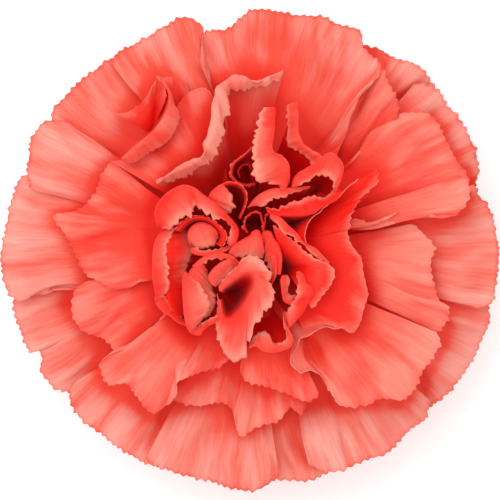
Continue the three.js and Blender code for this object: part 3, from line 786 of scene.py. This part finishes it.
def build_calyx(material):
    """The ribbed tube: a ring of low ribs, and pointed teeth that lean outward above the notches."""
    angle = np.linspace(0, 2 * math.pi, 420, endpoint=False)[None, :]
    v = np.linspace(0, 1, 90)[:, None]
    share = (angle * CALYX_TEETH / (2 * math.pi)) % 1
    peak = 1 - np.abs(2 * share - 1) ** 1.12
    z = v * (CALYX_HEIGHT + TOOTH_RISE * peak)
    above = np.maximum(z - CALYX_HEIGHT, 0) / TOOTH_RISE
    ribs = np.cos(CALYX_RIBS * angle) + 0.35 * np.cos(2 * CALYX_RIBS * angle + 1)
    rib = 0.09 * smoothstep(0.03, 0.3, v) * ribs
    dent = 0.16 * np.sin(3 * angle + 1.3) * np.sin(math.pi * v)
    radius = calyx_radius(np.minimum(z, CALYX_HEIGHT)) + TOOTH_FLARE * above ** 1.2 + rib + dent
    half = (0.3 - 0.22 * smoothstep(0.75, 1.0, v))[:, :, None]
    build_green("calyx_tube", round_axis(radius, angle + 0 * v, z), half, "calyx", material, ring=True)


def build_bract(node, azimuth, layer, material):
    """A scale that clasps the foot of the tube: a keel down the middle and a tip drawn out to a point."""
    u = np.linspace(-1, 1, 60)[None, :]
    v = np.linspace(0, 1, 50)[:, None]
    angle = math.radians(azimuth) + u * np.radians(BRACT_HALF_ANGLE * (1 - v ** 2.3) + 0.8)
    keel = 0.12 * np.exp(-(u / 0.12) ** 2) + 0.035 * np.cos(18 * u) * (1 - u ** 2)
    flare = 0.35 * smoothstep(0.55, 1.0, v) ** 2
    z = BRACT_LENGTH * v
    radius = calyx_radius(z) + BRACT_OFFSET + BRACT_LAYER * layer + keel + flare
    half = (0.17 - 0.11 * np.abs(u) ** 3 + 0 * v)[:, :, None]
    build_green("bract_" + node, round_axis(radius, angle, z + 0 * u), half, node, material)


# ---------------------------------------------------------------- materials

class Value:
    """A shader socket that can be used in arithmetic."""

    def __init__(self, finish, socket):
        self.finish = finish
        self.socket = socket

    def math(self, operation, first, second):
        return self.finish.node("ShaderNodeMath", {"operation": operation}, _0=first, _1=second)

    def __add__(self, other):
        return self.math("ADD", self, other)

    def __radd__(self, other):
        return self.math("ADD", other, self)

    def __sub__(self, other):
        return self.math("SUBTRACT", self, other)

    def __rsub__(self, other):
        return self.math("SUBTRACT", other, self)

    def __mul__(self, other):
        return self.math("MULTIPLY", self, other)

    def __rmul__(self, other):
        return self.math("MULTIPLY", other, self)

    def __pow__(self, other):
        return self.math("POWER", self, other)

    def step(self, low, high):
        """0 below low, 1 above high and a smooth rise between."""
        return self.finish.node("ShaderNodeMapRange", {"interpolation_type": "SMOOTHSTEP"},
                                Value=self, From_Min=low, From_Max=high)

    def clamp(self):
        return self.finish.node("ShaderNodeClamp", Value=self)


class Finish:
    """A material under construction."""

    def __init__(self, name):
        self.material = bpy.data.materials.new(name)
        self.material.use_nodes = True
        self.tree = self.material.node_tree
        self.tree.nodes.clear()

    def node(self, kind, settings=None, output=0, **inputs):
        """Any node: its settings first, then values or links for its inputs by name or _number."""
        node = self.tree.nodes.new(kind)
        for key, value in (settings or {}).items():
            setattr(node, key, value)
        for key, value in inputs.items():
            slot = node.inputs[int(key[1:])] if key[0] == "_" else node.inputs[key.replace("_", " ")]
            if isinstance(value, Value):
                self.tree.links.new(value.socket, slot)
            else:
                slot.default_value = value
        return Value(self, node.outputs[output])

    def xyz(self, vector):
        """The three numbers of a vector."""
        x = self.node("ShaderNodeSeparateXYZ", _0=vector)
        return [Value(self, socket) for socket in x.socket.node.outputs]

    def attribute(self, name):
        return self.node("ShaderNodeAttribute", {"attribute_name": name}, output="Fac")

    def object_place(self):
        return self.node("ShaderNodeTexCoord", output="Object")

    def mix(self, factor, low, high):
        """A colour between low and high."""
        return self.node("ShaderNodeMix", {"data_type": "RGBA"}, output=2, _0=factor, _6=low, _7=high)

    def noise(self, place, scale, detail=2.0, rough=0.5):
        return self.node("ShaderNodeTexNoise", Vector=place, Scale=scale, Detail=detail, Roughness=rough)

    def end(self, shader):
        out = self.tree.nodes.new("ShaderNodeOutputMaterial")
        self.tree.links.new(shader.socket, out.inputs["Surface"])
        return self.material


def colour(red, green, blue):
    """Linear RGBA from display values out of 255."""
    linear = [((c / 255 + 0.055) / 1.055) ** 2.4 if c > 10 else c / 255 / 12.92 for c in (red, green, blue)]
    return (*linear, 1.0)


# The dark red of the painted shadow deep in the bloom, where blades go down to their claws and under other
# petals.
PAINTED_SHADOW_COLOUR = colour(184, 2, 2)


def petal_finish(name, body, pale, deep, painted_shadow, bloom, rim, rim_from, glow_share, grain):
    """Satin petal: veins that fan from the claw, a pale outer part that is partly its own colour and partly
    painted light, and a deeper colour that is painted shade in folds, under other petals and towards the
    foot.

    The argument after deep is how dark the painted shadow gets where the blade goes down to its claw, bloom
    is how far along the blade the pale part starts, rim is how pale, or deep if negative, the toothed edge is
    from rim_from on, partly its own colour and partly a painted highlight, glow_share is how much light the
    blade lets through, and grain is how strong its finest streaks are.
    """
    f = Finish(name)
    s, v, _ = f.xyz(f.node("ShaderNodeUVMap", {"uv_map": "along_and_across"}))
    tone = f.attribute("tone")
    fold = f.attribute("fold")
    back = f.attribute("back")
    lip = f.attribute("lip")
    shade = f.attribute("shade")
    # Painted shade: how deep the point lies below the petals round it, from 0 to 1.
    occlusion_depth = f.attribute("occlusion_depth").step(-0.5, 4.5)
    bend = f.noise(f.object_place(), 120.0)
    vein_place = f.node("ShaderNodeCombineXYZ", X=s * 10 + bend * 2.5, Y=v * 7, Z=tone * 17)
    vein = f.noise(vein_place, 1.3, 3.0, 0.55)
    fine_place = f.node("ShaderNodeCombineXYZ", X=s * 38 + bend * 4, Y=v * 7, Z=tone * 9)
    fine = f.noise(fine_place, 1.0)
    broad_place = f.node("ShaderNodeCombineXYZ", X=s * 10 + bend * 3, Y=v * 9, Z=tone * 31)
    broad = f.noise(broad_place, 0.26)
    blotch = f.noise(f.object_place(), 110.0, 3.0, 0.55)
    # The toothed edge: paler there, partly the petal's own margin and partly a painted highlight.
    edge = v.step(rim_from, 1.0)
    # Painted shade deep in the bloom, where the blade goes down to its claw.
    toward_foot = 1 - v.step(0.25, 0.95)
    # The pale outer part: partly the petal's own colour and partly painted light on the outer blade.
    rim_zone = v.step(bloom, 1.0)
    # Painted shading on a rolled lip: deeper colour at its turn, paler towards its toothed edge.
    painted_lip_shading = lip * (0.45 - v.step(0.8, 0.97) * 0.65)
    fine_streaks = (fine.step(0.3, 0.7) - 0.5) * grain
    streaks = ((vein - 0.5) * (0.15 + rim_zone * 0.16) + fine_streaks) * (1 - lip * 0.6)
    # Paler where painted light falls: the outer part, the toothed edge and ridges of the relief, less under
    # other petals; also the petal's own paler back, tone, veins and blotches.
    pale_share = (edge * (lip * 0.4 + rim) + rim_zone * (broad.step(0.38, 0.62) * 0.42 + 0.08) - shade
                  - (occlusion_depth - 0.2) * 0.5 + fold * 0.15 + back * 0.15 + (tone - 0.5) * 0.15 + streaks
                  + (blotch - 0.5) * 0.6).clamp()
    # Deeper where painted shade falls: towards the foot, in hollows of the relief, at a lip's turn and under
    # other petals; also the petal's own tone, blotches and per-petal setting.
    deep_share = (toward_foot * 0.95 - fold * 0.2 + (0.5 - blotch) * 0.7 - back * 0.1 + painted_lip_shading
                  + shade + (occlusion_depth - 0.25) * 0.9).clamp()
    # Painted shadow: near-black red deep in the bloom and under other petals.
    painted_shadow_share = ((toward_foot - 0.45) * 1.4 + (occlusion_depth - 0.5) * 0.8).clamp() * painted_shadow
    base = f.mix(deep_share, f.mix(pale_share, body, pale), deep)
    base = f.mix(painted_shadow_share, base, PAINTED_SHADOW_COLOUR)
    bump = f.node("ShaderNodeBump", Strength=0.4, Distance=0.0002, Height=vein + fine * 0.4)
    skin = f.node("ShaderNodeBsdfPrincipled", Base_Color=base, Roughness=0.55, Normal=bump,
                  Specular_IOR_Level=0.15, Sheen_Weight=0.04, Sheen_Roughness=0.4)
    glow = f.node("ShaderNodeBsdfTranslucent", Color=body)
    return f.end(f.node("ShaderNodeMixShader", _0=glow_share, _1=skin, _2=glow))


def green_finish(name, body, rib, dry, tip):
    """Waxy green: fine lengthwise streaks, pale dots, and a drier tip above the height tip in metres."""
    f = Finish(name)
    place = f.object_place()
    height = f.xyz(place)[2]
    stretched = f.node("ShaderNodeMapping", Vector=place, Scale=(1400, 1400, 90))
    grain = f.noise(stretched, 1.0, 3.0)
    spots = f.noise(place, 260.0)
    high = height.step(tip - 0.003, tip + 0.0015)
    base = f.mix(grain.step(0.35, 0.65), body, rib)
    base = f.mix((spots.step(0.5, 0.75) * 0.35 + high * 0.8).clamp(), base, dry)
    bump = f.node("ShaderNodeBump", Strength=0.25, Distance=0.0002, Height=grain)
    return f.end(f.node("ShaderNodeBsdfPrincipled", Base_Color=base, Roughness=0.5, Normal=bump))


def cut_finish(name, pith, flesh, vessel):
    """A fresh cut: pale pith, and a ring of darker vessels 3.3 mm from the axis."""
    f = Finish(name)
    place = f.object_place()
    x, y, _ = f.xyz(place)
    radius = (x * x + y * y) ** 0.5
    cells = f.noise(place, 900.0, 3.0)
    ring = radius.step(0.0026, 0.0033) * (1 - radius.step(0.0033, 0.004))
    base = f.mix(radius.step(0.001, 0.003), pith, flesh)
    base = f.mix((ring * cells.step(0.35, 0.6) + cells * 0.15).clamp(), base, vessel)
    return f.end(f.node("ShaderNodeBsdfPrincipled", Base_Color=base, Roughness=0.55))


FINISHES = {
    "guard_petals": petal_finish("guard_petal_satin", colour(233, 89, 70), colour(235, 176, 162),
                                 colour(229, 46, 32), 0.15, 0.55, -0.3, 0.982, 0.22, 0.16),
    "outer_petals": petal_finish("outer_petal_satin", colour(235, 70, 54), colour(238, 152, 134),
                                 colour(227, 30, 19), 0.3, 0.55, -0.1, 0.975, 0.15, 0.12),
    "inner_petals": petal_finish("inner_petal_satin", colour(236, 40, 28), colour(242, 140, 120),
                                 colour(222, 12, 7), 0.45, 0.84, 0.2, 0.94, 0.12, 0.05),
    "heart_petals": petal_finish("heart_petal_satin", colour(236, 34, 24), colour(242, 136, 116),
                                 colour(218, 5, 3), 0.5, 0.84, 0.2, 0.94, 0.08, 0.04),
    "calyx": green_finish("calyx_skin", colour(112, 138, 90), colour(134, 157, 108),
                          colour(182, 176, 131), 0.0255),
    "bracts": green_finish("bract_skin", colour(103, 129, 79), colour(125, 148, 96),
                           colour(175, 167, 122), 0.0085),
    "cut_flesh": cut_finish("cut_flesh", colour(216, 220, 192), colour(191, 203, 152), colour(140, 160, 97)),
    "ovary": green_finish("ovary_skin", colour(173, 192, 130), colour(158, 179, 113),
                          colour(182, 186, 140), 1.0),
    "styles": green_finish("style_skin", colour(231, 223, 216), colour(227, 214, 206),
                           colour(232, 199, 191), 1.0),
}


# ---------------------------------------------------------------- the scene

def add_camera():
    """Straight above, far enough away that height hardly changes an outline."""
    lens = bpy.data.cameras.new("camera")
    camera = bpy.data.objects.new("camera", lens)
    bpy.context.scene.collection.objects.link(camera)
    distance = 1500.0
    frame_width = SPAN * 1.005
    edge_height = 25.0
    lens.sensor_width = 36
    lens.lens = lens.sensor_width * (distance - edge_height) / frame_width
    lens.clip_end = 10
    camera.location = (0, -0.15 * MM, distance * MM)
    bpy.context.scene.camera = camera


def add_key_light(place, size, power):
    """A square soft light that faces the bloom."""
    lamp = bpy.data.lights.new("key", "AREA")
    lamp.size = size
    lamp.energy = power
    light = bpy.data.objects.new("key", lamp)
    light.location = place
    light.rotation_euler = (Vector((0, 0, 0.03)) - Vector(place)).to_track_quat("-Z", "Y").to_euler()
    bpy.context.scene.collection.objects.link(light)


def add_stage():
    """A pale floor, 8 m square, white light from all round and one soft key light."""
    side = 4000
    corners = np.array([[-side, -side, 0], [side, -side, 0], [side, side, 0], [-side, side, 0]])
    floor = make_piece("floor", corners, np.array([[0, 1, 2, 3]]))
    f = Finish("floor_paint")
    paint = f.node("ShaderNodeBsdfPrincipled", Base_Color=(0.97, 0.97, 0.97, 1), Roughness=0.9)
    floor.data.materials.append(f.end(paint))
    scene = bpy.context.scene
    scene.world = bpy.data.worlds.new("studio")
    scene.world.use_nodes = True
    background = scene.world.node_tree.nodes["Background"]
    background.inputs["Color"].default_value = (1, 1, 1, 1)
    background.inputs["Strength"].default_value = 1.14
    add_key_light((-0.15, 0.22, 0.9), 0.8, 4.5)
    scene.view_settings.view_transform = "Standard"
    scene.cycles.max_bounces = 16
    scene.cycles.diffuse_bounces = 10
    scene.cycles.transmission_bounces = 10


add_camera()
add_stage()
pile = Pile()
grown = [grow(petal, pile, 100 + number) for number, petal in enumerate(PETALS)]
for petal, blade in zip(PETALS, grown):
    build_petal(petal, blade, pile, FINISHES[SLOTS[petal.ring]])
build_calyx(FINISHES["calyx"])
for node, azimuth, layer in BRACTS:
    build_bract(node, azimuth, layer, FINISHES["bracts"])
for node in ("receptacle", "ovary", "style_1", "style_2"):
    frame["nodes"][node].data.materials.clear()
    frame["nodes"][node].data.materials.append(FINISHES[SLOT_OF[node]])
